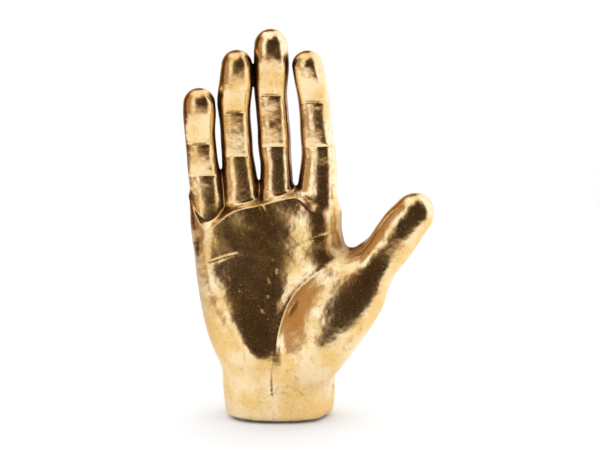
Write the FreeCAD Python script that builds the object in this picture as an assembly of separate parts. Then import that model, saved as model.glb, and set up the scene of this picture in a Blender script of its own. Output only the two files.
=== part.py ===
import FreeCAD, Part
import math
import os

# Gilded ceramic hand that stands on its wrist, with the open palm to the front and the thumb held out.
# It is a hollow casting with a pour hole in its foot, which a felt pad covers.
# Millimetres. The origin is the centre of the pad's underside, +Z is up, the palm faces -Y and the
# thumb points towards +X.

Vec = FreeCAD.Vector

# Wrist and foot
wrist_width = 83.0
wrist_depth = 58.0
wrist_height = 40.0
foot_round = 9.0

# Palm, from the wrist to the webs between the fingers
palm_height = 132.0
palm_width = 111.0
palm_depth = 44.0
palm_hollow = 4.5

# Ledge in which the pads of the palm end below the fingers: three points of its upper edge, as shares
# of palm_width and palm_height, how far the webs above it stand in front of the middle, and its slope
ledge_shares = [(-0.56, 0.80), (-0.13, 0.98), (0.40, 0.975)]
web_front = 5.0
ledge_angle = 36.0

# Felt pad stuck under the foot
pad_thickness = 1.5
pad_inset = 0.8

# Least wall of the casting, and the pour hole in its foot
wall = 5.0
pour_hole_diameter = 26.0

# Fingers: length above the crease at the palm, width and depth
little_length = 93.0
little_width = 23.0
little_depth = 21.5
ring_length = 111.5
ring_width = 23.5
ring_depth = 22.5
middle_length = 119.5
middle_width = 24.0
middle_depth = 23.0
index_length = 111.5
index_width = 23.5
index_depth = 22.5
finger_curl = 20.0
finger_root = 22.0

# Thumb with its ball: length along its own axis from the heel of the palm, width and depth of its
# last joint, and how far the ball stands in front of the wrist's middle
thumb_length = 178.0
thumb_width = 33.0
thumb_depth = 28.0
thumb_forward = 17.0
thumb_lean_angle = 38.0

# Distance from one section of a skin to the next
wrist_step = 9.0
palm_step = 8.0
finger_step = 12.0
thumb_step = 10.0
# Angles at which the rounded foot and the round tips have a section
foot_angles = (0.0, 30.0, 60.0)
tip_angles = (0.0, 44.0, 76.0)

# Wrist: height as a share of wrist_height, left and right edges as shares of wrist_width, front and
# back as shares of wrist_depth
wrist_shares = [
    (0.22, -0.51, 0.48, -0.50, 0.48),
    (0.88, -0.53, 0.48, -0.50, 0.47),
]

# Palm: height as a share of palm_height, left and right edges as shares of palm_width, front and back
# as shares of palm_depth, and the hollow between its pads as a share of palm_hollow
palm_shares = [
    (0.03, -0.43, 0.37, -0.68, 0.61, 0.05),
    (0.12, -0.48, 0.37, -0.69, 0.58, 0.20),
    (0.21, -0.51, 0.38, -0.66, 0.55, 0.55),
    (0.33, -0.54, 0.40, -0.60, 0.53, 0.65),
    (0.48, -0.57, 0.42, -0.51, 0.49, 0.40),
    (0.66, -0.58, 0.43, -0.46, 0.46, 0.20),
    (0.80, -0.58, 0.41, -0.45, 0.43, 0.10),
    (0.88, -0.57, 0.39, -0.44, 0.38, 0.00),
    (0.94, -0.54, 0.36, -0.41, 0.32, 0.00),
    (1.00, -0.49, 0.31, -0.16, 0.19, 0.00),
]
# Where the hollow lies and how far the crests of the pads are from it, as shares of the half width
hollow_centre_share = 0.02
hollow_reach_share = 0.50
# How far the corners of a section are filled: a share of 0.55 is an ellipse and 1 a rectangle
fullness_share = 0.74

# Fingers and thumb: distance from the root as a share of the length below the round tip, offset
# outwards and half width as shares of the width, offset forwards as a share of the curl, half depth
# as a share of the depth
little_shares = [
    (0.08, 0.05, 0.53, 0.00, 0.54),
    (0.24, 0.00, 0.53, 0.06, 0.53),
    (0.38, -0.05, 0.51, 0.16, 0.51),
    (0.52, -0.10, 0.49, 0.32, 0.47),
    (0.68, -0.13, 0.48, 0.50, 0.45),
    (0.86, -0.16, 0.51, 0.74, 0.50),
    (1.00, -0.15, 0.51, 0.87, 0.50),
]
ring_shares = [
    (0.08, 0.07, 0.57, 0.00, 0.56),
    (0.24, 0.00, 0.53, 0.05, 0.54),
    (0.38, -0.04, 0.50, 0.15, 0.52),
    (0.54, -0.07, 0.49, 0.34, 0.48),
    (0.69, -0.12, 0.49, 0.55, 0.46),
    (0.82, -0.09, 0.53, 0.79, 0.51),
    (1.00, -0.02, 0.48, 0.99, 0.50),
]
middle_shares = [
    (0.02, 0.02, 0.51, 0.00, 0.56),
    (0.18, 0.02, 0.48, 0.03, 0.53),
    (0.34, -0.04, 0.51, 0.13, 0.53),
    (0.50, -0.08, 0.49, 0.30, 0.49),
    (0.66, -0.14, 0.49, 0.50, 0.47),
    (0.84, -0.11, 0.53, 0.79, 0.51),
    (1.00, -0.12, 0.51, 0.99, 0.51),
]
index_shares = [
    (0.06, 0.01, 0.64, 0.00, 0.58),
    (0.26, 0.05, 0.57, 0.06, 0.54),
    (0.42, 0.02, 0.52, 0.16, 0.53),
    (0.58, -0.05, 0.50, 0.34, 0.48),
    (0.75, -0.10, 0.49, 0.56, 0.46),
    (0.90, -0.21, 0.48, 0.83, 0.50),
    (1.00, -0.29, 0.47, 0.96, 0.50),
]
thumb_shares = [
    (0.00, -0.30, 0.62, 0.10, 0.62),
    (0.16, -0.45, 0.79, 0.72, 0.86),
    (0.32, -0.56, 0.84, 0.95, 0.90),
    (0.43, -0.57, 0.84, 0.95, 0.90),
    (0.52, -0.57, 0.81, 0.90, 0.83),
    (0.59, -0.59, 0.75, 0.82, 0.74),
    (0.67, -0.53, 0.58, 0.74, 0.62),
    (0.74, -0.54, 0.48, 0.70, 0.52),
    (0.83, -0.55, 0.51, 0.78, 0.50),
    (0.93, -0.59, 0.49, 0.91, 0.48),
    (1.00, -0.59, 0.48, 0.95, 0.47),
]

# How much of its width and depth a finger still has at the end of its root
finger_root_share = 0.7

# Where each finger meets the palm: sideways as a share of palm_width, up as a share of palm_height
little_place_shares = (-0.500, 0.855)
ring_place_shares = (-0.280, 0.925)
middle_place_shares = (-0.035, 0.978)
index_place_shares = (0.242, 0.920)
# Start of the thumb's axis: sideways as a share of wrist_width, up as a share of wrist_height
thumb_place_shares = (0.155, 0.38)

# Space inside: heights in the palm as shares of palm_height, with the one where the fingers' bores
# start, the distances along the thumb and along a finger at which their bores turn, and the cut at a
# section's corners as a share of its half depth
cavity_shares = (0.06, 0.33, 0.52, 0.70)
finger_bore_start_share = 0.62
thumb_bore_start_share = 0.30
thumb_bore_shares = (0.70, 1.00)
finger_bore_shares = (0.00, 0.40, 0.70, 1.00)
cavity_corner_share = 0.75
bore_corner_share = 0.59

foot_level = pad_thickness
wrist_top = foot_level + wrist_height


class Digit:
    """A finger or the thumb: its root, its axis, its table of sections and the sizes they follow."""

    def __init__(self, root, lean, rows, length, width, depth, curl):
        turn = math.radians(lean)
        self.root = root
        self.along = Vec(math.sin(turn), 0.0, math.cos(turn))
        self.outward = Vec(math.cos(turn), 0.0, -math.sin(turn))
        self.backward = Vec(0.0, 1.0, 0.0)
        self.rows = rows
        self.width = width
        self.depth = depth
        self.curl = curl
        self.tip_radius = sum(self.half_sizes(rows[-1])) / 2.0
        self.straight = length - self.tip_radius

    def centre(self, row):
        """The middle of the section that a row describes."""
        share, across, half_width, forward, half_depth = row
        middle = self.root + self.along * (share * self.straight)
        return middle + self.outward * (across * self.width) - self.backward * (forward * self.curl)

    def half_sizes(self, row):
        """Half the width and half the depth of the section that a row describes."""
        return row[2] * self.width, row[4] * self.depth


def finger(place, rows, length, width, depth):
    """A finger, whose root narrows as it goes down into the palm."""
    root = Vec(place[0] * palm_width, 0.0, wrist_top + place[1] * palm_height)
    digit = Digit(root, 0.0, rows, length, width, depth, finger_curl)
    share, across, half_width, forward, half_depth = rows[0]
    lowest = -finger_root / digit.straight
    buried = (lowest, across, half_width * finger_root_share, forward, half_depth * finger_root_share)
    digit.rows = [buried] + rows
    return digit


def all_fingers():
    """The four fingers, from the little one to the index."""
    return [
        finger(little_place_shares, little_shares, little_length, little_width, little_depth),
        finger(ring_place_shares, ring_shares, ring_length, ring_width, ring_depth),
        finger(middle_place_shares, middle_shares, middle_length, middle_width, middle_depth),
        finger(index_place_shares, index_shares, index_length, index_width, index_depth),
    ]


def thumb_and_ball():
    """The thumb with its ball, on an axis that leans outwards from the heel of the palm."""
    root = Vec(thumb_place_shares[0] * wrist_width, 0.0, foot_level + thumb_place_shares[1] * wrist_height)
    return Digit(root, thumb_lean_angle, thumb_shares, thumb_length, thumb_width, thumb_depth, thumb_forward)


def blended(rows, share):
    """The row of a table at one share, on smooth curves through its rows."""
    k = max(i for i in range(len(rows) - 1) if rows[i][0] <= share)
    before, low, high, after = rows[max(k - 1, 0)], rows[k], rows[k + 1], rows[min(k + 2, len(rows) - 1)]
    span = high[0] - low[0]
    t = (share - low[0]) / span
    row = [share]
    for c in range(1, len(low)):
        slope_low = (high[c] - before[c]) / (high[0] - before[0]) * span
        slope_high = (after[c] - low[c]) / (after[0] - low[0]) * span
        start_part = (2 * t**3 - 3 * t**2 + 1) * low[c] + (t**3 - 2 * t**2 + t) * slope_low
        end_part = (3 * t**2 - 2 * t**3) * high[c] + (t**3 - t**2) * slope_high
        row.append(start_part + end_part)
    return row


def stations(rows, length, step):
    """Rows about a step apart, from a table's first row to its last. A share of 1 is length long."""
    first, last = rows[0][0], rows[-1][0]
    count = max(1, round((last - first) * length / step))
    return [blended(rows, first + (last - first) * k / count) for k in range(count + 1)]


def bend(start, corner, end):
    """A quarter of a palm section: a curve from start to end, drawn towards the corner between them."""
    curve = Part.BezierCurve()
    filled = fullness_share
    curve.setPoles([start, start + (corner - start) * filled, end + (corner - end) * filled, end])
    return curve.toShape()


def wave(start, end):
    """A curve that leaves start and reaches end straight across the section."""
    across = Vec((end.x - start.x) / 2.0, 0.0, 0.0)
    curve = Part.BezierCurve()
    curve.setPoles([start, start + across, end - across, end])
    return curve.toShape()


def palm_section(z, left, right, front, back, hollow):
    """A squared oval with a hollow in its front, between the two pads of the palm."""
    middle = (left + right) / 2.0
    half = (right - left) / 2.0
    depth = (front + back) / 2.0
    east = Vec(right, depth, z)
    west = Vec(left, depth, z)
    north = Vec(middle, back, z)
    dip = Vec(middle + hollow_centre_share * half, front + hollow, z)
    reach = hollow_reach_share * half
    east_pad = Vec(dip.x + reach, front, z)
    west_pad = Vec(dip.x - reach, front, z)
    edges = [
        bend(east, Vec(right, back, z), north),
        bend(north, Vec(left, back, z), west),
        bend(west, Vec(left, front, z), west_pad),
        wave(west_pad, dip),
        wave(dip, east_pad),
        bend(east_pad, Vec(right, front, z), east),
    ]
    return Part.Wire(edges)


def oval(centre, sideways, backwards):
    """Four arcs that run into each other, through centre plus or minus each of the two vectors."""
    half_width, half_depth = sideways.Length, backwards.Length
    major = (1.0 + math.sqrt(2.0)) / 2.0
    x = major - half_depth / half_width / 2.0
    y = major - half_width / half_depth / 2.0
    joints = [(x, y), (-x, y), (-x, -y), (x, -y)]
    corners = [centre + sideways * a + backwards * b for a, b in joints]
    middles = [centre + backwards, centre - sideways, centre - backwards, centre + sideways]
    edges = [Part.Arc(corners[k], middles[k], corners[(k + 1) % 4]).toShape() for k in range(4)]
    return Part.Wire(edges)


def eight_sided(centre, sideways, backwards, cut):
    """A rectangle about centre with its corners cut off, for the space inside."""
    wide, deep = sideways.Length, backwards.Length
    x, y = (wide - cut) / wide, (deep - cut) / deep
    joints = [(1, y), (x, 1), (-x, 1), (-1, y), (-1, -y), (-x, -1), (x, -1), (1, -y)]
    points = [centre + sideways * a + backwards * b for a, b in joints]
    return Part.makePolygon(points + points[:1])


def cavity_section(z, left, right, front, back):
    """A section of the space inside the palm."""
    centre = Vec((left + right) / 2.0, (front + back) / 2.0, z)
    half_width = Vec((right - left) / 2.0, 0.0, 0.0)
    half_depth = Vec(0.0, (back - front) / 2.0, 0.0)
    return eight_sided(centre, half_width, half_depth, cavity_corner_share * half_depth.Length)


def wrist_sides(row, inset=0.0):
    """Height and sides of the wrist at a row of its table, drawn in all round."""
    share, left, right, front, back = row
    return (
        foot_level + share * wrist_height,
        left * wrist_width + inset,
        right * wrist_width - inset,
        front * wrist_depth + inset,
        back * wrist_depth - inset,
    )


def palm_sides(row, inset=0.0):
    """Height and sides of the palm at a row of its table, drawn in all round."""
    share, left, right, front, back, hollow = row
    return (
        wrist_top + share * palm_height,
        left * palm_width + inset,
        right * palm_width - inset,
        front * palm_depth + inset,
        back * palm_depth - inset,
    )


def foot_outline(z, inset):
    """The wrist's lowest section at another height, drawn in all round."""
    return palm_section(z, *wrist_sides(wrist_shares[0], inset)[1:], 0.0)


def above_the_ledge():
    """The space in front of the webs, above the slope in which the pads of the palm end."""
    points = [Vec(a * palm_width, -web_front, wrist_top + b * palm_height) for a, b in ledge_shares]
    left, right = points[0].x - palm_depth, points[-1].x + palm_depth
    top = wrist_top + palm_height + palm_depth
    corners = [
        points[-1],
        Vec(right, -web_front, points[-1].z),
        Vec(right, -web_front, top),
        Vec(left, -web_front, top),
        Vec(left, -web_front, points[0].z),
        points[0],
    ]
    edges = [Part.Arc(*points).toShape()]
    edges += [Part.makeLine(a, b) for a, b in zip(corners, corners[1:])]
    slope = Vec(0.0, -palm_depth, -palm_depth * math.tan(math.radians(ledge_angle)))
    return Part.Face(Part.Wire(edges)).extrude(slope)


def wrist_and_palm():
    """The body from the rounded foot to the webs between the fingers."""
    sections = []
    for degrees in foot_angles:
        turn = math.radians(degrees)
        rise = foot_round * (1.0 - math.cos(turn))
        sections.append(foot_outline(foot_level + rise, foot_round * (1.0 - math.sin(turn))))
    for row in stations(wrist_shares, wrist_height, wrist_step):
        sections.append(palm_section(*wrist_sides(row), 0.0))
    for row in stations(palm_shares, palm_height, palm_step):
        sections.append(palm_section(*palm_sides(row), row[-1] * palm_hollow))
    return Part.makeLoft(sections, True, True).cut(above_the_ledge())


def digit_skin(digit, step):
    """A finger or the thumb, from its root to its round tip."""
    rows = stations(digit.rows, digit.straight, step)
    sections = []
    for row in rows[:-1]:
        half_width, half_depth = digit.half_sizes(row)
        sections.append(oval(digit.centre(row), digit.outward * half_width, digit.backward * half_depth))
    for degrees in tip_angles:
        turn = math.radians(degrees)
        radius = digit.tip_radius * math.cos(turn)
        centre = digit.centre(rows[-1]) + digit.along * (digit.tip_radius * math.sin(turn))
        sections.append(oval(centre, digit.outward * radius, digit.backward * radius))
    return Part.makeLoft(sections, True, True)


def outer_form():
    """The whole hand as it is seen, as one solid."""
    skins = [digit_skin(digit, finger_step) for digit in all_fingers()]
    skins.append(digit_skin(thumb_and_ball(), thumb_step))
    return wrist_and_palm().fuse(skins)


def palm_cavity():
    """The space inside the wrist and palm, clear of the hollow in front."""
    floor = wrist_sides(wrist_shares[0], foot_round)[1:]
    sections = [cavity_section(foot_level + wall, *floor)]
    for row in wrist_shares:
        sections.append(cavity_section(*wrist_sides(row, wall)))
    for share in cavity_shares:
        row = blended(palm_shares, share)
        z, left, right, front, back = palm_sides(row, wall)
        sections.append(cavity_section(z, left, right, front + row[-1] * palm_hollow, back))
    return Part.makeLoft(sections, True, True)


def bore(digit, start, shares):
    """The space inside a finger or the thumb from its start in the palm, with the wall at its narrowest."""
    rows = [blended(digit.rows, share) for share in shares]
    radius = min(min(digit.half_sizes(row)) for row in rows) - wall
    sideways, backwards = digit.outward * radius, digit.backward * radius
    cut = bore_corner_share * radius
    sections = [eight_sided(digit.centre(row), sideways, backwards, cut) for row in [start] + rows]
    return Part.makeLoft(sections, True, True)


def finger_bore(digit):
    """The space inside a finger, from the space inside the palm."""
    below = digit.root.z - wrist_top - finger_bore_start_share * palm_height
    start = [-below / digit.straight] + list(digit.rows[0][1:])
    return bore(digit, start, finger_bore_shares)


def cavity():
    """The whole space inside the casting."""
    bores = [finger_bore(digit) for digit in all_fingers()]
    thumb = thumb_and_ball()
    bores.append(bore(thumb, blended(thumb.rows, thumb_bore_start_share), thumb_bore_shares))
    return palm_cavity().fuse(bores)


def pour_hole():
    """The round hole through the foot that the casting was filled and emptied by."""
    return Part.makeCylinder(pour_hole_diameter / 2.0, pad_thickness + 2.0 * wall)


def hand_body():
    """The hollow casting."""
    return outer_form().cut([cavity(), pour_hole()])


def felt_pad():
    """The felt under the foot, a little smaller than the foot's flat face."""
    outline = foot_outline(0.0, foot_round + pad_inset)
    return Part.Face(outline).extrude(Vec(0.0, 0.0, pad_thickness))


def main():
    os.makedirs("parts", exist_ok=True)
    hand_body().exportStep("parts/hand_body.step")
    felt_pad().exportStep("parts/felt_pad.step")


main()
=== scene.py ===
import math

import bpy
import numpy as np
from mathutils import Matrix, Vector


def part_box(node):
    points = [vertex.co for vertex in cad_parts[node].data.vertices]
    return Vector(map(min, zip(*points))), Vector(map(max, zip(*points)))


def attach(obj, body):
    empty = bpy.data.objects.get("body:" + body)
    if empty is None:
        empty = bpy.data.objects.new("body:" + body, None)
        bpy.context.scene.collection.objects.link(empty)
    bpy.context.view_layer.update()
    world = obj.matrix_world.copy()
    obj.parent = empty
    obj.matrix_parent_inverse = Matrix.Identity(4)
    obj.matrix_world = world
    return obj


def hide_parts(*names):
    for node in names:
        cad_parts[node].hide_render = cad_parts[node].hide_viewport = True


# Gilded ceramic hand on a pale floor. The hand's skin is drawn as one smooth field in millimetres of
# the drawing: x towards the thumb, y towards the back of the hand and z up from the felt's underside.

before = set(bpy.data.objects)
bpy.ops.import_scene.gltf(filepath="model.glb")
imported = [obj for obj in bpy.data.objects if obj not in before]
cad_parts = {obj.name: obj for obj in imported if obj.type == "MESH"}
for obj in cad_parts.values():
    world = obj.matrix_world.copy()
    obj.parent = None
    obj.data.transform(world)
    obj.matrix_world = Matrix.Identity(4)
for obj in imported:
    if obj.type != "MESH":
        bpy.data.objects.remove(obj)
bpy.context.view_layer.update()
hand_low, hand_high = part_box("hand_body")

# Height of the hand in the drawing, and metres to a millimetre of the drawing
drawn_foot = 1.5
drawn_top = 289.8
mm = (hand_high[2] - hand_low[2]) / (drawn_top - drawn_foot)

# Spacing of the mesh, how often and how far its points are pulled onto the skin, and the box that is
# drawn, with a margin round it
mesh_step = 0.9
pulls = 3
longest_pull = 1.5
least_slope = 0.05
margin = 4.0
drawn_low = (-72.0, -46.0, 0.0)
drawn_high = (114.0, 32.0, 291.0)

# Wrist and palm

# Height, left and right edges, depth in front of and behind y = 0
palm_rows = [
    (0.0, -41.8, 38.6, 28.8, 27.5),
    (10.0, -42.8, 39.6, 29.0, 27.8),
    (20.0, -43.8, 40.4, 29.0, 27.8),
    (30.0, -44.4, 40.6, 29.0, 27.4),
    (38.0, -45.2, 40.6, 29.2, 27.0),
    (45.0, -47.8, 40.6, 29.4, 26.4),
    (54.0, -51.6, 41.0, 28.8, 25.4),
    (66.0, -55.8, 42.0, 26.6, 24.4),
    (80.0, -59.0, 43.0, 24.2, 23.4),
    (96.0, -61.7, 45.0, 21.6, 22.4),
    (112.0, -63.7, 46.6, 20.0, 21.4),
    (128.0, -64.9, 47.6, 19.2, 20.4),
    (142.0, -64.9, 45.4, 18.4, 19.2),
    (154.0, -64.6, 43.6, 17.4, 17.4),
    (164.0, -63.0, 41.6, 16.5, 14.6),
    (174.0, -60.0, 40.0, 15.8, 10.6),
    (190.0, -56.0, 38.0, 15.0, 6.0),
]
foot_round = 5.0
# How squared the sections are at the foot and in the palm, and the heights between which that changes
foot_squareness = 2.4
palm_squareness = 2.8
squareness_heights = (20.0, 60.0)
# Flat down the right of the wrist: the way it faces from the front, its distance from the middle, the
# heights between which it runs out, how far out it ends and the round of its edges
facet_turn = 62.0
facet_distance = 35.8
facet_heights = (44.0, 62.0)
facet_run_out = 20.0
facet_round = 0.8

# Line along which the pads of the palm end below the fingers, in x and z
ledge_rows = [
    (-73.0, 172.0), (-65.0, 161.0), (-57.0, 151.0), (-42.0, 157.5), (-28.0, 164.0),
    (-14.0, 166.5), (8.0, 172.0), (20.0, 172.5), (30.0, 171.0), (44.0, 166.0),
]
# Height over which the ledge falls away, the same under the index finger, where it fades out, and the
# places in x between which it changes
ledge_slope = 8.0
index_ledge_slope = 26.0
index_ledge_start = (9.0, 24.0)
# How thin the hand is in front of y = 0 between the fingers
thin_front = 5.0
# Top of the skin between the fingers, in x and z, and the round of its edge
web_rows = [
    (-68.0, 170.0), (-54.0, 178.0), (-44.5, 185.0), (-31.0, 184.0), (-18.7, 177.0),
    (-5.0, 176.5), (11.0, 173.5), (27.0, 171.0), (46.0, 158.0),
]
web_round = 4.0

# Swellings of the palm in front and of the knuckles behind: place in x and z, spread in x and z, height
front_swellings = [
    (-42.0, 92.0, 12.0, 15.0, 1.8),
    (-35.0, 76.0, 12.0, 13.0, 2.4),
    (-26.0, 62.0, 11.0, 12.0, 2.8),
    (-17.0, 50.0, 10.0, 11.0, 2.2),
    (-62.0, 122.0, 14.0, 38.0, 4.0),
    (-3.0, 134.0, 16.0, 42.0, -2.4),
    (31.0, 150.0, 15.0, 42.0, 6.6),
    (28.0, 174.0, 12.0, 10.0, -1.0),
    (-46.0, 138.0, 9.0, 9.0, 0.9),
    (-22.0, 152.0, 9.0, 8.0, 0.9),
    (4.0, 160.0, 9.0, 8.0, 0.9),
]
back_swellings = [
    (-51.0, 157.0, 7.5, 9.0, 1.8),
    (-28.0, 164.0, 8.0, 9.5, 2.3),
    (-3.0, 168.0, 8.5, 10.0, 2.6),
    (25.0, 163.0, 9.0, 10.0, 2.4),
]

# Fingers

# Height, middle in x, half width, middle in y, half depth
little_rows = [
    (134.0, -53.4, 10.4, 1.6, 10.4),
    (143.0, -53.6, 12.0, 0.8, 12.2),
    (152.0, -54.0, 12.1, 0.4, 12.2),
    (160.0, -54.4, 12.1, 0.0, 11.8),
    (168.0, -54.9, 12.1, -0.5, 11.5),
    (176.0, -55.7, 12.2, -1.4, 11.4),
    (185.6, -56.8, 11.9, -3.2, 11.0),
    (194.5, -57.7, 11.3, -5.8, 10.4),
    (203.3, -58.3, 11.1, -8.0, 10.0),
    (212.2, -58.9, 11.1, -10.4, 9.9),
    (221.0, -59.1, 11.5, -13.2, 10.3),
    (229.0, -58.9, 11.9, -15.8, 10.4),
    (236.0, -58.9, 11.6, -17.6, 10.1),
]
ring_rows = [
    (146.0, -28.6, 10.0, 2.0, 9.6),
    (158.0, -29.0, 13.0, 0.6, 12.0),
    (170.0, -29.4, 13.2, 0.0, 12.4),
    (181.0, -30.5, 12.8, -0.6, 12.2),
    (190.0, -31.3, 12.2, -1.4, 11.9),
    (199.0, -32.1, 11.6, -2.8, 11.4),
    (208.0, -32.5, 11.6, -4.6, 11.0),
    (217.0, -32.9, 11.4, -6.8, 10.7),
    (226.0, -33.6, 11.5, -9.0, 10.5),
    (235.0, -34.0, 12.1, -11.6, 10.7),
    (243.5, -33.2, 12.4, -14.8, 11.0),
    (252.0, -32.2, 12.1, -17.6, 11.0),
    (260.0, -31.7, 11.5, -19.6, 10.8),
    (263.6, -31.4, 11.2, -20.2, 10.7),
]
middle_rows = [
    (150.0, -3.0, 10.5, 2.0, 10.0),
    (160.0, -3.2, 12.4, 0.6, 12.4),
    (172.0, -3.3, 12.3, 0.0, 12.8),
    (181.0, -3.4, 12.0, -0.4, 12.6),
    (190.0, -3.6, 11.6, -0.8, 12.2),
    (199.0, -4.4, 11.8, -1.6, 12.0),
    (208.0, -4.9, 12.1, -2.8, 11.8),
    (217.0, -5.2, 11.9, -4.6, 11.4),
    (226.0, -5.9, 11.8, -6.4, 11.0),
    (235.0, -6.6, 11.8, -8.4, 10.8),
    (243.5, -7.3, 11.9, -10.6, 10.9),
    (252.0, -7.1, 12.3, -13.4, 11.2),
    (261.0, -6.6, 12.6, -16.4, 11.3),
    (270.0, -6.7, 12.5, -18.8, 11.2),
    (278.0, -7.0, 11.9, -20.2, 11.0),
]
index_rows = [
    (140.0, 27.0, 12.0, 1.6, 10.5),
    (152.0, 27.2, 15.0, 0.0, 13.4),
    (163.0, 27.2, 15.2, -0.6, 13.6),
    (172.3, 27.1, 14.8, -0.8, 13.3),
    (181.2, 27.3, 14.0, -1.0, 12.6),
    (190.0, 27.8, 13.2, -1.4, 12.1),
    (199.0, 27.8, 12.5, -2.6, 11.9),
    (208.0, 26.9, 12.1, -4.0, 11.6),
    (216.6, 26.1, 11.8, -5.4, 11.1),
    (225.5, 25.4, 11.4, -7.0, 10.7),
    (234.3, 24.5, 11.3, -8.9, 10.5),
    (243.2, 23.3, 11.4, -11.5, 10.8),
    (252.0, 21.7, 11.4, -14.8, 11.0),
    (258.0, 20.5, 11.2, -16.8, 11.0),
    (263.5, 19.3, 10.9, -18.4, 10.8),
]
# Each finger's rows, the height of its tip and those of the creases at its root, middle and last joints
finger_tables = {
    "little": (little_rows, 247.7, (152.0, 182.7, 206.3)),
    "ring": (ring_rows, 275.1, (163.5, 196.7, 229.5)),
    "middle": (middle_rows, 290.0, (170.5, 204.0, 241.6)),
    "index": (index_rows, 274.6, (163.5, 204.0, 236.5)),
}
# How far the pads swell between the creases and how full they are, and the knuckles behind the joints
pad_swell = (0.5, 1.0, 1.3)
pad_fullness = 0.8
joint_swell = (0.0, 0.9, 0.5)
joint_spread = 7.0
# How far each finger's front is turned away from the thumb, in degrees
finger_turns = {"little": 4.0, "ring": 5.0, "middle": 5.0, "index": 13.0}
finger_squareness = 2.25
finger_blend = 1.6
root_blend = 5.0

# Creases in front of the joints: half length as a share of the finger's half width, rise of the
# middle, depth, spread and how much shade is painted into them
middle_crease = (0.74, 0.8, 0.6, 1.2, 0.15)
last_crease = (0.62, 0.6, 1.1, 1.2, 0.25)
# Course of a groove across a finger: place as a share of its half length, and shares of its rise and depth
groove_course = [(-1.0, 0.0, 0.0), (-0.6, 0.75, 0.8), (0.0, 1.0, 1.0), (0.6, 0.75, 0.8), (1.0, 0.0, 0.0)]
# Wrinkles behind the joints: how far from the joint, half length as a share of the half width,
# depth, spread and how much shade is painted into them, and how much of the first each wrinkle's middle
# rises
wrinkles = [
    (-3.4, 0.50, 0.30, 0.7, 0.8),
    (-1.0, 0.62, 0.42, 0.8, 0.8),
    (1.6, 0.58, 0.38, 0.7, 0.8),
    (4.2, 0.42, 0.26, 0.7, 0.8),
]
wrinkle_rise = 0.8
# Nails: middle below the tip and half length, in millimetres, half width as a share of the finger's
# half width, depth of the groove round the nail and its spread as a share of the nail
nail = (9.5, 7.6, 0.66, 0.55, 0.085)
nail_squareness = 3.0
# How high a nail stands as a share of the groove's depth, where its edge falls off as shares of its
# size, how far behind the finger's middle it begins, and how much longer and lower the thumb's is
nail_rise = 0.4
nail_edge = (0.8, 1.0)
nail_start = (1.0, 4.0)
thumb_nail = 1.3

# Thumb

# Distance along its axis, crest across it, reach inwards and outwards of the crest, middle in y,
# depth in front and behind, squareness of the flank towards the palm
thumb_lean = 38.0
thumb_rows = [
    (18.0, -7.0, 12.0, 10.0, -2.0, 13.0, 12.0, 2.0),
    (26.0, -8.8, 17.0, 14.0, -6.0, 18.0, 16.0, 2.0),
    (36.0, -10.5, 23.0, 18.5, -10.0, 22.5, 21.0, 1.9),
    (50.0, -12.5, 29.5, 22.3, -13.0, 25.0, 24.0, 1.75),
    (64.0, -13.5, 36.0, 23.2, -15.0, 25.6, 25.0, 1.65),
    (78.0, -14.5, 39.0, 24.0, -15.6, 25.4, 25.0, 1.6),
    (92.0, -15.5, 38.0, 24.2, -15.6, 24.2, 23.6, 1.6),
    (105.0, -16.5, 34.5, 24.0, -15.2, 22.0, 21.0, 1.65),
    (116.0, -17.2, 28.0, 22.8, -14.6, 19.6, 18.6, 1.8),
    (125.0, -17.3, 20.5, 19.4, -14.2, 17.0, 16.4, 2.1),
    (134.0, -17.2, 16.8, 16.8, -14.0, 15.4, 14.8, 2.3),
    (143.0, -17.8, 15.8, 16.0, -13.8, 14.6, 14.0, 2.4),
    (152.0, -18.0, 16.4, 16.6, -14.2, 14.6, 13.8, 2.4),
    (162.0, -18.8, 16.6, 16.6, -15.0, 14.6, 13.6, 2.4),
    (172.0, -19.4, 16.1, 16.0, -15.8, 14.2, 13.4, 2.4),
    (181.0, -19.2, 15.0, 15.2, -16.2, 13.6, 13.0, 2.3),
]
thumb_tip = 198.6
thumb_squareness = 2.4
# Fillets between the thumb and the palm, round its ball and in the web above it, and the heights
# between which they change
ball_blend = 6.5
web_blend = 13.0
blend_heights = (96.0, 116.0)

# Lines, scuffs and sinews

# Lines on the palm: spread, how much shade is painted into the line, and places in x and z with the line's
# depth there
palm_lines = {
    "round_the_ball": (2.2, 0.2, [
        (38.0, 123.0, 0.0), (27.0, 113.5, 0.3), (14.0, 101.5, 0.5), (5.5, 89.0, 0.6), (0.0, 76.0, 0.6),
        (-3.9, 62.0, 0.6), (-5.6, 50.0, 0.5), (-6.6, 40.0, 0.0),
    ]),
    "wrist_slit": (0.9, 0.9, [
        (-5.0, 55.0, 0.0), (-6.4, 44.0, 0.4), (-7.0, 34.0, 0.7), (-6.7, 28.0, 0.8), (-5.9, 20.0, 0.0),
    ]),
    "below_the_fingers": (1.6, 0.0, [
        (-56.0, 119.0, 0.0), (-48.0, 121.0, 0.5), (-38.0, 124.5, 0.5), (-26.0, 126.0, 0.0),
    ]),
    "across_the_palm": (1.6, 0.3, [
        (42.0, 141.0, 0.0), (30.0, 139.5, 0.4), (20.0, 136.0, 0.3), (4.0, 127.0, 0.0),
    ]),
    "beside_the_ring_finger": (2.0, 0.3, [
        (-18.0, 174.0, 0.0), (-15.5, 164.0, 0.9), (-12.0, 156.0, 0.6), (-9.0, 149.0, 0.0),
    ]),
    "heel": (1.0, 0.9, [(-26.6, 60.0, 0.0), (-26.6, 50.0, 0.4), (-26.4, 43.0, 0.0)]),
    "ball_fold": (1.6, 0.6, [(13.0, 95.0, 0.0), (8.4, 87.0, 0.7), (4.0, 79.0, 0.0)]),
    "wrist_seam": (0.9, 0.4, [
        (29.5, 56.0, 0.0), (30.2, 44.0, 0.2), (30.4, 26.0, 0.3), (30.2, 12.0, 0.2), (30.0, 5.0, 0.0),
    ]),
}
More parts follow.
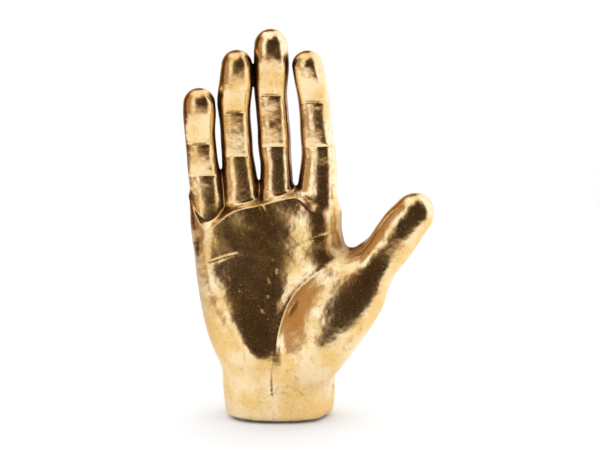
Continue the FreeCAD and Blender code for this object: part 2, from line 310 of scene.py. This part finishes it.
# The y up to which the lines in front reach, and from which those behind do
front_reach = 2.0
back_reach = -4.0
# Scuffs in the palm: place in x and z, half width and half height, and turn in degrees, and where their
# edges fall off as shares of their size
scuffs = [
    (-3.2, 113.3, 0.9, 1.9, 5.0),
    (-8.9, 106.6, 0.8, 2.2, -18.0),
    (-9.6, 94.8, 0.7, 1.3, 12.0),
    (-13.6, 84.5, 0.7, 1.6, -30.0),
    (-6.0, 121.5, 0.5, 0.8, 40.0),
    (-30.5, 99.0, 0.5, 0.9, 60.0),
]
scuff_edge = (0.7, 1.3)
# Sinews on the back of the hand: the knuckle and the end at the wrist in x and z, height and spread
sinews = [
    ((-49.0, 150.0), (-17.0, 66.0), 0.6, 2.8),
    ((-27.0, 156.0), (-9.0, 62.0), 0.8, 2.8),
    ((-3.0, 160.0), (0.0, 60.0), 0.9, 3.0),
    ((24.0, 156.0), (9.0, 66.0), 0.8, 3.0),
]
# How full the sinews are along their length, and the places in y between which they begin
sinew_fullness = 0.7
sinew_start = (4.0, 10.0)

# How far out of the skin it is tested whether the place is in a hollow, and the most that a hollow counts,
# for the shade painted into hollows and creases and for their duller gloss
hollow_reach = 7.0
deepest_hollow = 2.0

# Gold

# Its bright and its deep places, its brown specks, the shade painted brown and near black into its hollows
# and creases, and its worn foot
gold_bright = (0.93, 0.74, 0.44, 1.0)
gold_deep = (0.86, 0.57, 0.21, 1.0)
gold_brown = (0.50, 0.25, 0.06, 1.0)
# Painted shade: brown in the hollows and creases; the worn foot's near black is also painted as the deepest
# shade there
hollow_shade_brown = (0.26, 0.10, 0.02, 1.0)
worn_foot_and_deep_shade = (0.09, 0.05, 0.025, 1.0)
# Noises: clouds to a metre, detail and roughness
cloud_noise = (42.0, 4.0, 0.6)
lump_noise = (75.0, 2.0, 0.4)
blotch_noise = (150.0, 5.0, 0.65)
grain_noise = (620.0, 4.0, 0.7)
speck_noise = (1100.0, 2.0, 0.5)
# Where a noise, or the painted shade of a hollow or crease, changes the colour: its low and high values and
# the share at each
deep_clouds = (0.38, 0.62, 0.0, 0.9)
brown_grain = (0.54, 0.72, 0.0, 0.45)
brown_blotches = (0.56, 0.70, 0.0, 0.55)
# Painted shade in hollows and creases: first brown, then near black where they are deepest
painted_hollow_shade = (0.12, 0.85, 0.0, 0.95)
painted_deep_shade = (0.80, 1.35, 0.0, 0.85)
# The same for the wear of the foot by its height in metres, and how far the blotches shift that
foot_wear = (0.0040, 0.0062, 0.85, 0.0)
foot_shift = 0.006
# Where the noises and hollows change the roughness, and what the specks and scuffs add to it
cloud_gloss = (0.35, 0.70, 0.17, 0.27)
grain_gloss = (0.50, 0.75, 0.0, 0.10)
hollow_gloss = (0.30, 1.20, 0.0, 0.25)
speck_edges = (0.69, 0.74)
speck_gloss = 0.48
# Shares of the blotches and the grain in the fine relief, and its height in metres
blotch_relief = 0.16
grain_relief = 0.045
relief_height = 0.0009

# Felt

# Points round its outline, rings as insets and heights in shares of its thickness, and its fuzz with the
# waves round the outline and the turn of the waves over its thickness
felt_points = 96
felt_rings = [(0.6, 0.0), (0.22, 0.06), (0.05, 0.25), (0.0, 0.5), (0.05, 0.8), (0.3, 1.0)]
felt_fuzz = 0.12
fuzz_waves = (17.0, 41.0)
fuzz_turn = 40.0
felt_dark = (0.012, 0.009, 0.007, 1.0)
felt_light = (0.045, 0.034, 0.026, 1.0)
# Fibres: their noise, its values at the dark and the light, and their relief's strength and height
fibre_noise = (1400.0, 5.0, 0.75)
fibre_edges = (0.35, 0.70)
fibre_relief = (0.8, 0.0003)
felt_roughness = 0.95
felt_sheen = 0.4

# Floor and light

# The tabletop: its edges in metres from the hand, to the left, right, front and back
floor_edges = (-0.6, 1.0, -0.30, 1.2)
floor_colour = 0.96
floor_roughness = 0.9
# What the gold reflects, in degrees about the hand (0 towards the camera, 90 to its right) and above the
# floor: first and last angle, first and last height, how soft the edges are, and the strength
room_panels = {
    "right_panel": ((60.0, 168.0), (-30.0, 70.0), 10.0, 1.22),
    "left_panel": ((-48.0, -22.5), (-22.0, 62.0), 5.0, 1.2),
    "left_glow": ((-90.0, -42.0), (-20.0, 60.0), 9.0, 0.38),
    "overhead_left": ((-150.0, 10.0), (50.0, 140.0), 12.0, 1.2),
    "overhead": ((-400.0, 400.0), (66.0, 140.0), 10.0, 1.1),
    "behind_left": ((-178.0, -125.0), (-20.0, 50.0), 12.0, 0.2),
    "below": ((-66.0, 80.0), (-140.0, -24.5), 5.5, 1.05),
}
# How much faster the green and the blue fall off than the red at the panels' edges
edge_warmth = (0.8, 1.3, 2.0)
room_dark = (0.050, 0.028, 0.013, 1.0)
room_light = 1.22
# Where the white backdrop behind the hand begins and is full, as the y of a direction towards it
backdrop_edges = (0.88, 0.95)

# Camera: where it looks, its distance and its angle above the floor, and its lens
camera_target = (0.014, 0.0, 0.1451)
camera_distance = 1.115
camera_elevation = 8.0
camera_lens = 90.0


def spline(rows, step=0.5):
    """A natural cubic spline through a table's rows, as fine rows that are a step apart."""
    rows = np.array(rows, float)
    at, values = rows[:, 0], rows[:, 1:]
    gaps = np.diff(at)
    count = len(at)
    system = np.eye(count)
    right = np.zeros_like(values)
    for k in range(1, count - 1):
        system[k, k - 1:k + 2] = gaps[k - 1], 2.0 * (gaps[k - 1] + gaps[k]), gaps[k]
        rise, fall = (values[k + 1] - values[k]) / gaps[k], (values[k] - values[k - 1]) / gaps[k - 1]
        right[k] = 6.0 * (rise - fall)
    bend = np.linalg.solve(system, right)
    fine = np.arange(at[0], at[-1] + step / 2.0, step)
    k = np.clip(np.searchsorted(at, fine) - 1, 0, count - 2)
    gap = gaps[k][:, None]
    low, high = (at[k + 1] - fine)[:, None], (fine - at[k])[:, None]
    curve = bend[k] * low**3 / (6.0 * gap) + bend[k + 1] * high**3 / (6.0 * gap)
    curve += (values[k] / gap - bend[k] * gap / 6.0) * low
    curve += (values[k + 1] / gap - bend[k + 1] * gap / 6.0) * high
    return fine, curve


def read(table, at):
    """Every column of a fine table at some places."""
    fine, curve = table
    return [np.interp(at, fine, column) for column in curve.T]


def step_up(low, high, at):
    """0 below low, 1 above high and a smooth rise between them."""
    t = np.clip((at - low) / (high - low), 0.0, 1.0)
    return t * t * (3.0 - 2.0 * t)


def bump(at, middle, spread):
    """1 at the middle, falling off smoothly over the spread."""
    return np.exp(-((at - middle) / spread) ** 2)


def joined(a, b, blend):
    """Union of two fields with a fillet about as wide as the blend."""
    near = np.maximum(blend - np.abs(a - b), 0.0) / blend
    return np.minimum(a, b) - near * near * blend / 4.0


def common(a, b, radius):
    """What two fields have in common, with an edge of that radius."""
    a, b = a + radius, b + radius
    return np.minimum(np.maximum(a, b), 0.0) + np.hypot(np.maximum(a, 0.0), np.maximum(b, 0.0)) - radius


palm_table = spline(palm_rows)
ledge_table = spline(ledge_rows)
web_table = spline(web_rows)
thumb_table = spline(thumb_rows)


def finger_table(name):
    """A finger's fine table, with its pads in the depth in front and its knuckles in that behind."""
    rows, tip, creases = finger_tables[name]
    fine, curve = spline(rows)
    stops = creases + (tip,)
    back, front = curve[:, 3].copy(), curve[:, 3].copy()
    for low, high, swell in zip(stops, stops[1:], pad_swell):
        t = np.clip((fine - low) / (high - low), 0.0, 1.0)
        front += swell * np.sin(math.pi * t) ** pad_fullness
    for crease, swell in zip(creases, joint_swell):
        back += swell * bump(fine, crease, joint_spread)
    return fine, np.column_stack([curve[:, :3], back, front])


fine_fingers = {name: finger_table(name) for name in finger_tables}


def finger_field(name, x, y, z):
    """Distance to a finger, below zero inside it."""
    rows, tip, creases = finger_tables[name]
    low, high = rows[0][0], rows[-1][0]
    centre, half_width, middle, back, front = read(fine_fingers[name], z)
    turn = math.radians(finger_turns[name])
    over = (x - centre) * math.cos(turn) - (y - middle) * math.sin(turn)
    behind = (x - centre) * math.sin(turn) + (y - middle) * math.cos(turn)
    depth = np.where(behind < 0.0, front, back)
    across = np.abs(over) / half_width
    deep = np.abs(behind) / depth
    flat = (across**finger_squareness + deep**finger_squareness) ** (2.0 / finger_squareness)
    past = np.maximum(z - high, 0.0) / (tip - high)
    short = np.maximum(low - z, 0.0) / half_width
    return (np.sqrt(flat + past**2 + short**2) - 1.0) * np.minimum(half_width, depth)


def thumb_places(x, z):
    """Distances along and across the thumb's axis."""
    turn = math.radians(thumb_lean)
    return x * math.sin(turn) + z * math.cos(turn), x * math.cos(turn) - z * math.sin(turn)


def thumb_field(x, y, z):
    """Distance to the thumb and its ball."""
    along, over = thumb_places(x, z)
    low, high = thumb_rows[0][0], thumb_rows[-1][0]
    crest, inwards, outwards, middle, front, back, inner = read(thumb_table, along)
    half_width = np.where(over < crest, inwards, outwards)
    depth = np.where(y < middle, front, back)
    power = np.where((over < crest) & (y < middle), inner, thumb_squareness)
    across = np.abs(over - crest) / half_width
    deep = np.abs(y - middle) / depth
    flat = (across**power + deep**power) ** (2.0 / power)
    past = np.maximum(along - high, 0.0) / (thumb_tip - high)
    short = np.maximum(low - along, 0.0) / half_width
    return (np.sqrt(flat + past**2 + short**2) - 1.0) * np.minimum(half_width, depth)


def palm_field(x, y, z):
    """Distance to the wrist and palm."""
    left, right, front, back = read(palm_table, z)
    for place_x, place_z, spread_x, spread_z, height in front_swellings:
        front = front + height * bump(x, place_x, spread_x) * bump(z, place_z, spread_z)
    for place_x, place_z, spread_x, spread_z, height in back_swellings:
        back = back + height * bump(x, place_x, spread_x) * bump(z, place_z, spread_z)
    ledge = read(ledge_table, x)[0]
    slope = ledge_slope + (index_ledge_slope - ledge_slope) * step_up(*index_ledge_start, x)
    # A third of the slope lies above the ledge's line
    below = step_up(0.0, slope, ledge + slope / 3.0 - z)
    front = thin_front + (front - thin_front) * below
    centre, half_width = (left + right) / 2.0, (right - left) / 2.0
    depth = np.where(y < 0.0, front, back)
    across = np.abs(x - centre) / half_width
    deep = np.abs(y) / depth
    power = foot_squareness + (palm_squareness - foot_squareness) * step_up(*squareness_heights, z)
    field = ((across**power + deep**power) ** (1.0 / power) - 1.0) * np.minimum(half_width, depth)
    turn = math.radians(facet_turn)
    distance = facet_distance + facet_run_out * step_up(*facet_heights, z)
    field = common(field, x * math.sin(turn) - y * math.cos(turn) - distance, facet_round)
    field = common(field, z - read(web_table, x)[0], web_round)
    return common(field, drawn_foot - z, foot_round)


def hand_field(x, y, z):
    """Distance to the whole hand's plain form, below zero inside it."""
    fingers = finger_field("little", x, y, z)
    for name in ("ring", "middle", "index"):
        fingers = joined(fingers, finger_field(name, x, y, z), finger_blend)
    hand = joined(palm_field(x, y, z), fingers, root_blend)
    blend = ball_blend + (web_blend - ball_blend) * step_up(*blend_heights, z)
    return joined(hand, thumb_field(x, y, z), blend)


def curve_points(points, spacing=0.7):
    """Fine points with their depths along a smooth curve through a few."""
    points = np.array(points, float)
    run = np.concatenate([[0.0], np.cumsum(np.hypot(*np.diff(points[:, :2], axis=0).T))])
    return spline(np.column_stack([run, points]), spacing)[1]


class Line:
    """A groove on the front or back of the hand: fine points in x and z, depths, a spread and the shade
    painted into it.
    """

    def __init__(self, spread, painted_shade, points, front=True):
        self.points = curve_points(points)
        self.spread = spread
        self.painted_shade = painted_shade
        self.front = front
        reach = 3.0 * spread
        self.low = self.points[:, :2].min(0) - reach
        self.high = self.points[:, :2].max(0) + reach

    def depth(self, x, y, z):
        """How deep the groove is at each place."""
        near = (x > self.low[0]) & (x < self.high[0]) & (z > self.low[1]) & (z < self.high[1])
        near &= (y < front_reach) if self.front else (y > back_reach)
        cut = np.zeros_like(x)
        px, pz, depths = self.points.T
        away = (x[near, None] - px) ** 2 + (z[near, None] - pz) ** 2
        nearest = away.argmin(1)
        cut[near] = np.maximum(depths[nearest], 0.0) * np.exp(-away.min(1) / self.spread**2)
        return cut


def across_finger(name, height, half_share, rise, depth, spread, painted_shade, front=True):
    """A groove straight across a finger at some height, with its middle raised."""
    centre, half_width = read(fine_fingers[name], height)[:2]
    half = half_share * half_width
    points = [(centre + a * half, height + rise * b, depth * c) for a, b, c in groove_course]
    return Line(spread, painted_shade, points, front)


def hand_lines():
    """All the grooves of the hand."""
    lines = [Line(*line) for line in palm_lines.values()]
    for name, (rows, tip, creases) in finger_tables.items():
        lines.append(across_finger(name, creases[1], *middle_crease))
        lines.append(across_finger(name, creases[2], *last_crease))
        for joint in creases[1:]:
            for away, half_share, *groove in wrinkles:
                bend = half_share, wrinkle_rise * away
                lines.append(across_finger(name, joint + away, *bend, *groove, front=False))
    return lines


lines = hand_lines()


def nail_groove(across, along, half_width, half_length, depth, spread):
    """The groove round a nail and the nail's own rise, from places measured from its middle."""
    across, along = np.abs(across / half_width), np.abs(along / half_length)
    edge = (across**nail_squareness + along**nail_squareness) ** (1.0 / nail_squareness)
    return depth * bump(edge, 1.0, spread) - nail_rise * depth * (1.0 - step_up(*nail_edge, edge))


def nails(x, y, z):
    """How deep the grooves round the nails are at each place."""
    below, half_length, half_share, depth, spread = nail
    cut = np.zeros_like(x)
    for name, (rows, tip, creases) in finger_tables.items():
        middle_z = tip - below
        centre, half_width, middle = read(fine_fingers[name], min(middle_z, rows[-1][0]))[:3]
        size = half_share * half_width, half_length
        cut += step_up(*nail_start, y - middle) * nail_groove(x - centre, z - middle_z, *size, depth, spread)
    along, over = thumb_places(x, z)
    crest, inwards, outwards, middle = read(thumb_table, thumb_rows[-1][0])[:4]
    size = half_share * outwards, thumb_nail * half_length
    groove = nail_groove(over - crest, along - thumb_tip + thumb_nail * below, *size, depth, spread)
    return cut + step_up(*nail_start, y - middle) * groove


def sinew_height(x, y, z):
    """How high the sinews stand on the back of the hand at each place."""
    height = np.zeros_like(x)
    for (x0, z0), (x1, z1), rise, spread in sinews:
        t = np.clip((z - z0) / (z1 - z0), 0.0, 1.0)
        away = x - (x0 + (x1 - x0) * t)
        height += rise * np.sin(math.pi * t) ** sinew_fullness * np.exp(-(away / spread) ** 2)
    return height * step_up(*sinew_start, y)


def line_depth(x, y, z):
    """How deep the grooves are at each place."""
    return sum(line.depth(x, y, z) for line in lines)


def painted_groove_shade(x, y, z):
    """How much shade is painted into the grooves at each place."""
    return sum(line.painted_shade * line.depth(x, y, z) for line in lines)


def scuffed(x, y, z):
    """1 on the scuffs of the palm and 0 elsewhere, with soft edges."""
    scuff = np.zeros_like(x)
    for place_x, place_z, half_width, half_height, turn in scuffs:
        c, s = math.cos(math.radians(turn)), math.sin(math.radians(turn))
        across, along = (x - place_x) * c - (z - place_z) * s, (x - place_x) * s + (z - place_z) * c
        edge = np.hypot(across / half_width, along / half_height)
        scuff = np.maximum(scuff, 1.0 - step_up(*scuff_edge, edge))
    return scuff * (y < 0.0)


def skin_field(x, y, z):
    """Distance to the hand with its lines, nails and sinews."""
    return hand_field(x, y, z) + line_depth(x, y, z) + nails(x, y, z) - sinew_height(x, y, z)


def sampled(field, low, high, step):
    """The field on a grid, worked out one slab at a time."""
    xs, ys, zs = (np.arange(a, b + step, step) for a, b in zip(low, high))
    values = np.empty((len(xs), len(ys), len(zs)), np.float32)
    x, y = np.meshgrid(xs, ys, indexing="ij")
    for k, z in enumerate(zs):
        values[:, :, k] = field(x, y, np.full_like(x, z))
    return values


def netted(values, low, step):
    """Points and four-sided faces where the sampled field changes sign."""
    cells = np.array(values.shape) - 1
    strides = np.array([cells[1] * cells[2], cells[2], 1])
    sums = np.zeros((int(np.prod(cells)), 3), np.float32)
    counts = np.zeros(int(np.prod(cells)), np.float32)
    faces = []
    inside = values < 0.0
    for axis in range(3):
        first = [slice(None)] * 3
        second = [slice(None)] * 3
        first[axis], second[axis] = slice(None, -1), slice(1, None)
        first, second = tuple(first), tuple(second)
        places = np.argwhere(inside[first] != inside[second])
        before = values[first][tuple(places.T)]
        after = values[second][tuple(places.T)]
        crossing = places.astype(np.float32)
        crossing[:, axis] += before / (before - after)
        b, c = (axis + 1) % 3, (axis + 2) % 3
        around = []
        for shift_b, shift_c in ((0, 0), (-1, 0), (-1, -1), (0, -1)):
            cell = places.copy()
            cell[:, b] += shift_b
            cell[:, c] += shift_c
            flat = cell @ strides
            for column in range(3):
                sums[:, column] += np.bincount(flat, crossing[:, column], len(counts))
            counts += np.bincount(flat, minlength=len(counts))
            around.append(flat)
        quads = np.stack(around, axis=1)
        quads[before > 0.0] = quads[before > 0.0][:, ::-1]
        faces.append(quads)
    used, faces = np.unique(np.concatenate(faces), return_inverse=True)
    points = sums[used] / counts[used][:, None]
    return points * step + np.array(low), faces.reshape(-1, 4)


def slopes(field, points, reach=0.25):
    """Gradient of a field at some points."""
    grad = np.empty_like(points)
    for axis in range(3):
        shift = np.zeros(3)
        shift[axis] = reach
        ahead, behind = points + shift, points - shift
        grad[:, axis] = (field(*ahead.T) - field(*behind.T)) / (2.0 * reach)
    return grad


def pulled(field, points):
    """The points moved onto the field's skin, and the skin's outward normals there."""
    for turn in range(pulls):
        grad = slopes(field, points)
        size = np.maximum((grad**2).sum(1), least_slope)
        points = points - grad * (np.clip(field(*points.T), -longest_pull, longest_pull) / size)[:, None]
    grad = slopes(field, points)
    return points, grad / np.linalg.norm(grad, axis=1)[:, None]


def placed(name, data):
    """A new object with that data, in the scene."""
    thing = bpy.data.objects.new(name, data)
    bpy.context.collection.objects.link(thing)
    return thing


def skin_object(name):
    """The hand's skin as a smooth mesh object."""
    low = [a - margin for a in drawn_low]
    high = [a + margin for a in drawn_high]
    points, faces = netted(sampled(hand_field, low, high, mesh_step), low, mesh_step)
    points, normals = pulled(skin_field, points)
    mesh = bpy.data.meshes.new(name)
    mesh.vertices.add(len(points))
    mesh.vertices.foreach_set("co", (points * mm).ravel())
    mesh.loops.add(faces.size)
    mesh.loops.foreach_set("vertex_index", faces.ravel())
    mesh.polygons.add(len(faces))
    mesh.polygons.foreach_set("loop_start", np.arange(0, faces.size, 4))
    mesh.update(calc_edges=True)
    mesh.polygons.foreach_set("use_smooth", np.ones(len(faces), bool))
    mesh.normals_split_custom_set_from_vertices(normals)
    # Painted shade: how closed in the skin is a little way out, plus the shade painted into the grooves,
    # darkens the gold's colour
    closed = 1.0 - hand_field(*(points + normals * hollow_reach).T) / hollow_reach + painted_groove_shade(*points.T)
    shown = {"hollow": np.clip(closed, 0.0, deepest_hollow), "scuff": scuffed(*points.T)}
    for attribute, values in shown.items():
        mesh.attributes.new(attribute, "FLOAT", "POINT").data.foreach_set("value", values)
    return placed(name, mesh)


def felt_object(name):
    """The felt under the foot, as a squared oval with a soft round edge."""
    low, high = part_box("felt_pad")
    centre = [(a + b) / 2.0 for a, b in zip(low, high)]
    half = [(b - a) / 2.0 for a, b in zip(low, high)]
    few, many = fuzz_waves
    points = []
    for inset, height in felt_rings:
        for k in range(felt_points):
            turn = 2.0 * math.pi * k / felt_points
            c, s = math.cos(turn), math.sin(turn)
            size = (abs(c) ** palm_squareness + abs(s) ** palm_squareness) ** (-1.0 / palm_squareness)
            fuzz = felt_fuzz * math.sin(few * turn + fuzz_turn * height) * math.sin(many * turn)
            x = centre[0] + c * size * (half[0] - (inset + fuzz) * half[2])
            y = centre[1] + s * size * (half[1] - (inset + fuzz) * half[2])
            points.append((x, y, low[2] + height * 2.0 * half[2]))
    faces = []
    for ring in range(len(felt_rings) - 1):
        first, second = ring * felt_points, (ring + 1) * felt_points
        for k in range(felt_points):
            after = (k + 1) % felt_points
            faces.append((first + k, first + after, second + after, second + k))
    last = (len(felt_rings) - 1) * felt_points
    faces.append(tuple(reversed(range(felt_points))))
    faces.append(tuple(range(last, last + felt_points)))
    mesh = bpy.data.meshes.new(name)
    mesh.from_pydata(points, [], faces)
    mesh.polygons.foreach_set("use_smooth", [len(face) == 4 for face in faces])
    return placed(name, mesh)


class Nodes:
    """Short calls that add linked nodes to a node tree."""

    def __init__(self, tree):
        self.tree = tree

    def new(self, kind, settings=(), **inputs):
        """A node with its settings and inputs. An input is a value or another node's output."""
        node = self.tree.nodes.new(kind)
        for name, value in dict(settings).items():
            setattr(node, name, value)
        for key, value in inputs.items():
            numbered = key[0] == "i" and key[1:].isdigit()
            self.put(value, node.inputs[int(key[1:]) if numbered else key])
        return node

    def put(self, value, socket):
        """Link another node's output to a socket, or set its value."""
        if isinstance(value, bpy.types.NodeSocket):
            self.tree.links.new(value, socket)
        else:
            socket.default_value = value

    def math(self, operation, first, second=0.0):
        """The result of a sum of one or two values."""
        return self.new("ShaderNodeMath", {"operation": operation}, i0=first, i1=second).outputs[0]

    def rise(self, value, low, high, first=0.0, last=1.0):
        """The first value where another is below low, the last above high and a smooth change between."""
        settings = {"interpolation_type": "SMOOTHSTEP"}
        node = self.new("ShaderNodeMapRange", settings, i0=value, i1=low, i2=high, i3=first, i4=last)
        return node.outputs[0]

    def band(self, value, low, high, soft):
        """1 where a value is between low and high, with soft edges."""
        up = self.rise(value, low - soft, low + soft)
        down = self.rise(value, high - soft, high + soft)
        return self.math("MULTIPLY", up, self.math("SUBTRACT", 1.0, down))

    def noise(self, place, scale, detail, roughness):
        """Cloudy noise with so many clouds to a metre."""
        node = self.new("ShaderNodeTexNoise", Vector=place, Scale=scale, Detail=detail, Roughness=roughness)
        return node.outputs[0]

    def glow(self, colour):
        """A background of one colour."""
        return self.new("ShaderNodeBackground", Color=colour).outputs[0]

    def between(self, share, first, second):
        """A shader between two, by a share of the second."""
        return self.new("ShaderNodeMixShader", Fac=share, i1=first, i2=second).outputs[0]

    def mixed(self, share, first, second):
        """A colour between two, by a share of the second."""
        node = self.new("ShaderNodeMix", {"data_type": "RGBA"}, i0=share)
        self.put(first, node.inputs[6])
        self.put(second, node.inputs[7])
        return node.outputs[2]


def new_material(name):
    """A node material, the calls that add to it and its Principled shader."""
    material = bpy.data.materials.new(name)
    material.use_nodes = True
    return material, Nodes(material.node_tree), material.node_tree.nodes["Principled BSDF"]


def gold_lustre():
    """Polished gold over ceramic: uneven in colour and gloss, with shade painted brown into its hollows and
    creases, and worn at the foot.
    """
    material, add, shader = new_material("gold_lustre")
    shader.inputs["Metallic"].default_value = 1.0
    place = add.new("ShaderNodeTexCoord").outputs["Object"]
    height = add.new("ShaderNodeSeparateXYZ", Vector=place).outputs[2]
    hollow = add.new("ShaderNodeAttribute", {"attribute_name": "hollow"}).outputs["Fac"]
    scuffs = add.new("ShaderNodeAttribute", {"attribute_name": "scuff"}).outputs["Fac"]
    clouds = add.noise(place, *cloud_noise)
    grain = add.noise(place, *grain_noise)
    blotches = add.noise(place, *blotch_noise)
    specks = add.math("MAXIMUM", add.rise(add.noise(place, *speck_noise), *speck_edges), scuffs)

    tone = add.mixed(add.rise(clouds, *deep_clouds), gold_bright, gold_deep)
    tone = add.mixed(add.rise(grain, *brown_grain), tone, gold_brown)
    tone = add.mixed(add.rise(blotches, *brown_blotches), tone, gold_brown)
    # Painted shade: hollows and creases turn brown, and the deepest nearly black
    tone = add.mixed(add.rise(hollow, *painted_hollow_shade), tone, hollow_shade_brown)
    tone = add.mixed(add.rise(hollow, *painted_deep_shade), tone, worn_foot_and_deep_shade)
    edge = add.math("ADD", height, add.math("MULTIPLY", blotches, foot_shift))
    tone = add.mixed(add.rise(edge, *foot_wear), tone, worn_foot_and_deep_shade)
    add.put(tone, shader.inputs["Base Color"])

    gloss = add.math("ADD", add.rise(clouds, *cloud_gloss), add.rise(grain, *grain_gloss))
    dull = add.math("MAXIMUM", add.rise(hollow, *hollow_gloss), add.math("MULTIPLY", specks, speck_gloss))
    add.put(add.math("ADD", gloss, dull), shader.inputs["Roughness"])

    lumps = add.math("ADD", add.noise(place, *lump_noise), add.math("MULTIPLY", blotches, blotch_relief))
    relief = add.math("ADD", lumps, add.math("MULTIPLY", grain, grain_relief))
    bump = add.new("ShaderNodeBump", Height=relief, Strength=1.0, Distance=relief_height)
    add.put(bump.outputs[0], shader.inputs["Normal"])
    return material


def dark_felt():
    """Dark wool felt with a fibrous surface."""
    material, add, shader = new_material("dark_felt")
    place = add.new("ShaderNodeTexCoord").outputs["Object"]
    fibres = add.noise(place, *fibre_noise)
    tone = add.mixed(add.rise(fibres, *fibre_edges), felt_dark, felt_light)
    add.put(tone, shader.inputs["Base Color"])
    shader.inputs["Roughness"].default_value = felt_roughness
    shader.inputs["Sheen Weight"].default_value = felt_sheen
    strength, height = fibre_relief
    bump = add.new("ShaderNodeBump", Height=fibres, Strength=strength, Distance=height)
    add.put(bump.outputs[0], shader.inputs["Normal"])
    return material


def grey(value):
    """A grey of that strength."""
    return (value, value, value, 1.0)


def white_floor():
    """A pale tabletop that ends a little way in front of the hand."""
    left, right, front, back = floor_edges
    corners = [(left, front, 0), (right, front, 0), (right, back, 0), (left, back, 0)]
    mesh = bpy.data.meshes.new("floor")
    mesh.from_pydata(corners, [], [(0, 1, 2, 3)])
    floor = placed("floor", mesh)
    material, add, shader = new_material("pale_floor")
    shader.inputs["Base Color"].default_value = grey(floor_colour)
    shader.inputs["Roughness"].default_value = floor_roughness
    shader.inputs["Specular IOR Level"].default_value = 0.0
    mesh.materials.append(material)


def room():
    """A dark room with bright panels at the sides and overhead and a white backdrop behind the hand."""
    world = bpy.data.worlds.new("room")
    bpy.context.scene.world = world
    world.use_nodes = True
    world.node_tree.nodes.clear()
    add = Nodes(world.node_tree)
    direction = add.new("ShaderNodeTexCoord").outputs["Generated"]
    x, y, z = add.new("ShaderNodeSeparateXYZ", Vector=direction).outputs
    about = add.math("DEGREES", add.math("ARCTAN2", x, add.math("MULTIPLY", y, -1.0)))
    above = add.math("DEGREES", add.math("ARCSINE", z))
    light = 0.0
    for (first, last), (low, high), soft, strength in room_panels.values():
        panel = add.math("MULTIPLY", add.band(about, first, last, soft), add.band(above, low, high, soft))
        light = add.math("MAXIMUM", light, add.math("MULTIPLY", panel, strength))
    red, green, blue = (add.math("POWER", light, power) for power in edge_warmth)
    warm = add.new("ShaderNodeCombineXYZ", X=red, Y=green, Z=blue).outputs[0]
    panels = add.new("ShaderNodeAddShader", i0=add.glow(room_dark), i1=add.glow(warm)).outputs[0]
    path = add.new("ShaderNodeLightPath").outputs
    lit = add.between(path["Is Diffuse Ray"], panels, add.glow(grey(room_light)))
    mirrored = add.math("MAXIMUM", path["Is Glossy Ray"], path["Is Transmission Ray"])
    behind = add.math("MULTIPLY", mirrored, add.rise(y, *backdrop_edges))
    backdrop = add.math("MAXIMUM", path["Is Camera Ray"], behind)
    add.new("ShaderNodeOutputWorld", Surface=add.between(backdrop, lit, add.glow(grey(1.0))))


def camera():
    """The photograph's camera: a little above the hand, looking slightly down at its middle."""
    data = bpy.data.cameras.new("camera")
    data.lens = camera_lens
    data.sensor_width = 36.0
    data.clip_start = 0.01
    thing = placed("camera", data)
    elevation = math.radians(camera_elevation)
    away = Vector((0.0, -math.cos(elevation), math.sin(elevation)))
    thing.location = Vector(camera_target) + away * camera_distance
    thing.rotation_euler = (-away).to_track_quat("-Z", "Y").to_euler()
    bpy.context.scene.camera = thing


hand = skin_object("hand_skin")
hand.data.materials.append(gold_lustre())
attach(hand, "root")
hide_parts("hand_body")

felt = felt_object("foot_felt")
felt.data.materials.append(dark_felt())
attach(felt, "root")
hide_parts("felt_pad")

white_floor()
room()
camera()
bpy.context.scene.view_settings.view_transform = "Standard"
